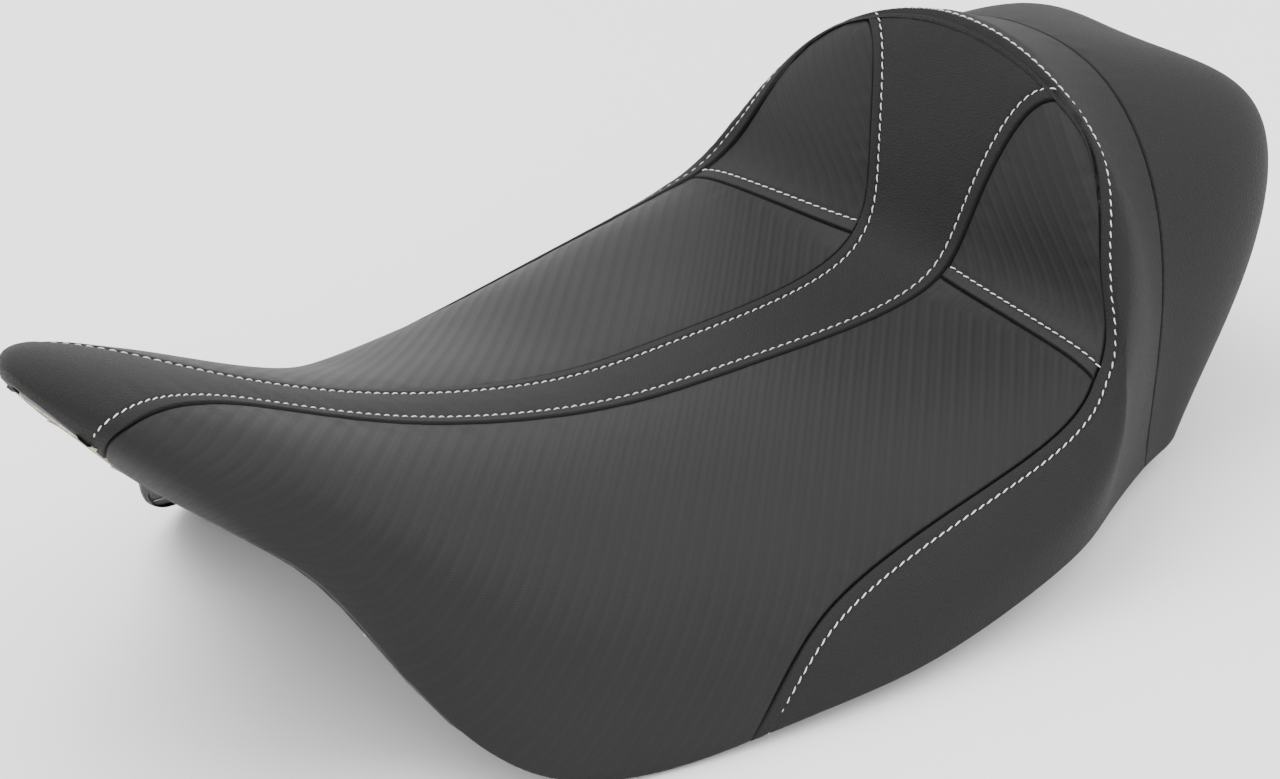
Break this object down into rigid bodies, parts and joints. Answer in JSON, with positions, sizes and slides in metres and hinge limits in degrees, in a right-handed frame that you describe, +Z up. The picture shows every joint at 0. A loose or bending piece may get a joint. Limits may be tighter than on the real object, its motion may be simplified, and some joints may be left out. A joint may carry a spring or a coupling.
{
  "type": "motorcycle seat",
  "caption": "Solo motorcycle seat with a raised nose, deep saddle, wrap-round lumbar back, sewn vinyl panels with contrast topstitching, foam core and moulded base pan.",
  "frame": {"origin": "centre of the bounding box in X and Y, on the plane under the thigh skirts' lower edges", "axes": "+Z up, -Y towards the nose, +X the rider's right"},
  "size_m": [0.366, 0.6781, 0.2034],
  "materials": {
    "smooth_vinyl": "satin",
    "carbon_vinyl": "satin, embossed twill",
    "white_thread": "matte",
    "black_thread": "matte",
    "foam": "matte",
    "pan_plastic": "fine texture",
    "rubber": "matte",
    "zinc_steel": "zinc plated",
    "coated_steel": "satin powder coat",
    "nylon": "natural",
    "rivet_steel": "plain",
    "hem_tape": "woven"
  },
  "bodies": {
    "root": {"centre_panel": "smooth_vinyl", "seat_panel_right": "carbon_vinyl", "seat_panel_left": "carbon_vinyl", "bolster_panel_right": "carbon_vinyl", "bolster_panel_left": "carbon_vinyl", "perimeter_band": "smooth_vinyl", "rear_panel": "smooth_vinyl", "topstitch_centre_right": "white_thread", "topstitch_centre_left": "white_thread", "topstitch_cross_right": "white_thread", "topstitch_cross_left": "white_thread", "topstitch_band": "white_thread", "rear_seam_thread": "black_thread", "seat_foam": "foam", "backrest_foam": "foam", "base_pan": "pan_plastic", "bumpers": "rubber", "bumper_screws": "zinc_steel", "front_tongue": "coated_steel", "rear_tab": "coated_steel", "tab_bushing": "nylon", "tongue_rivets": "rivet_steel", "tab_rivets": "rivet_steel", "hem_right": "hem_tape", "hem_left": "hem_tape", "hem_front": "hem_tape", "hem_rear": "hem_tape", "staples": "zinc_steel"}
  },
  "joints": []
}
